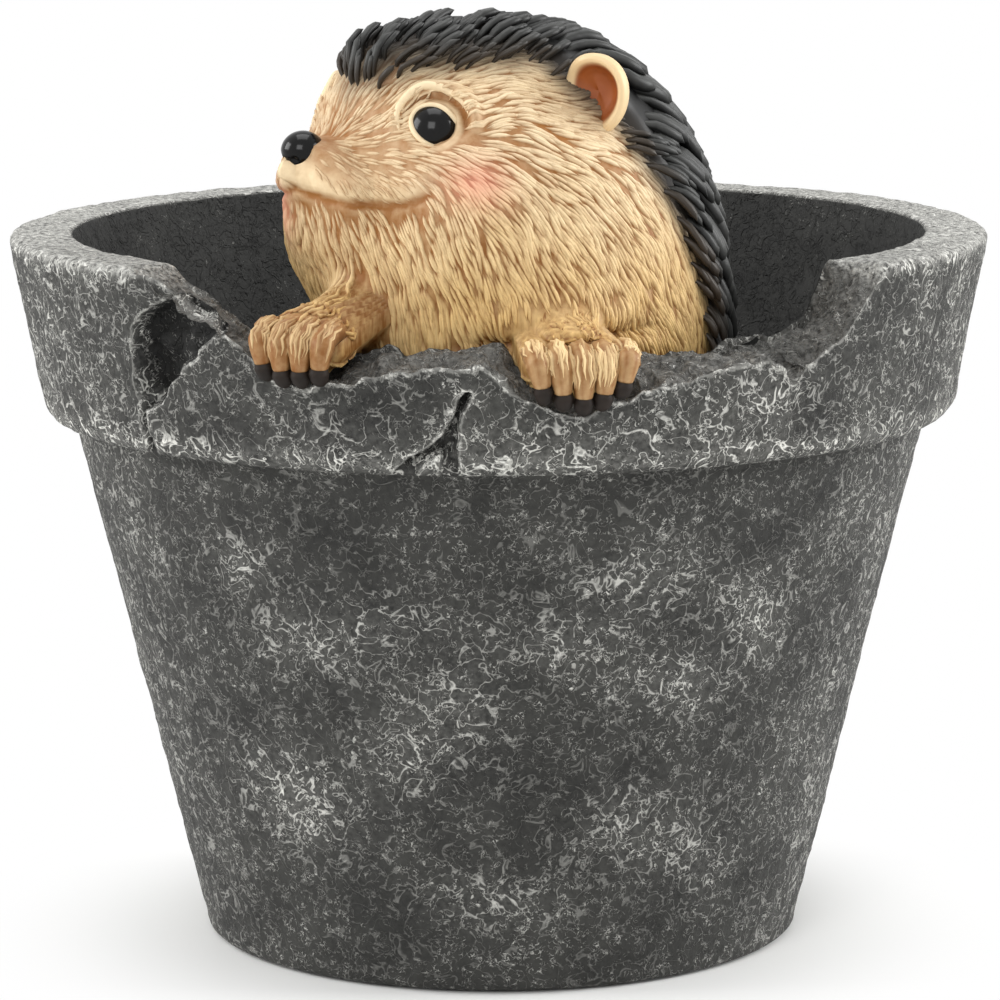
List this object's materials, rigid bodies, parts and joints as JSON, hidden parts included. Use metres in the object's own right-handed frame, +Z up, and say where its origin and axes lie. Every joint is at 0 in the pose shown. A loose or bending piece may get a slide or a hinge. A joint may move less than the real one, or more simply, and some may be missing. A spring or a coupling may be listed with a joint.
{
  "type": "hedgehog planter",
  "caption": "Stone-look tapered flower pot with a thick collar and a broken rim, over which a hedgehog figure climbs out; lift-out rubber drain bung.",
  "frame": {"origin": "centre of the pot's underside, on the pot's axis", "axes": "+Z up along the pot's axis; -Y towards the broken part of the rim; +X to the right as seen from in front of the break"},
  "size_m": [0.199, 0.2006, 0.1938],
  "materials": {
    "stone_resin": "matte charcoal with a pale dry-brushed grain",
    "bung_rubber": "matte black",
    "fur_paint": "cream paint with an ochre wash",
    "quill_paint": "satin charcoal",
    "ear_paint": "cream rim, brown inside",
    "gloss_black": "gloss black",
    "paw_paint": "cream paint with a brown wash",
    "claw_paint": "dark brown"
  },
  "bodies": {
    "planter": {"pot": "stone_resin", "hedgehog_body": "fur_paint", "quill_mantle": "quill_paint", "left_ear": "ear_paint", "right_ear": "ear_paint", "left_eye": "gloss_black", "right_eye": "gloss_black", "nose": "gloss_black", "left_forepaw": "paw_paint", "right_forepaw": "paw_paint", "left_claws": "claw_paint", "right_claws": "claw_paint"},
    "bung": {"drain_plug": "bung_rubber"}
  },
  "joints": [
    {"name": "bung_lift", "type": "slide", "parent": "planter", "child": "bung", "axis": [0, 0, 1], "range_m": [0, 0.03]}
  ]
}
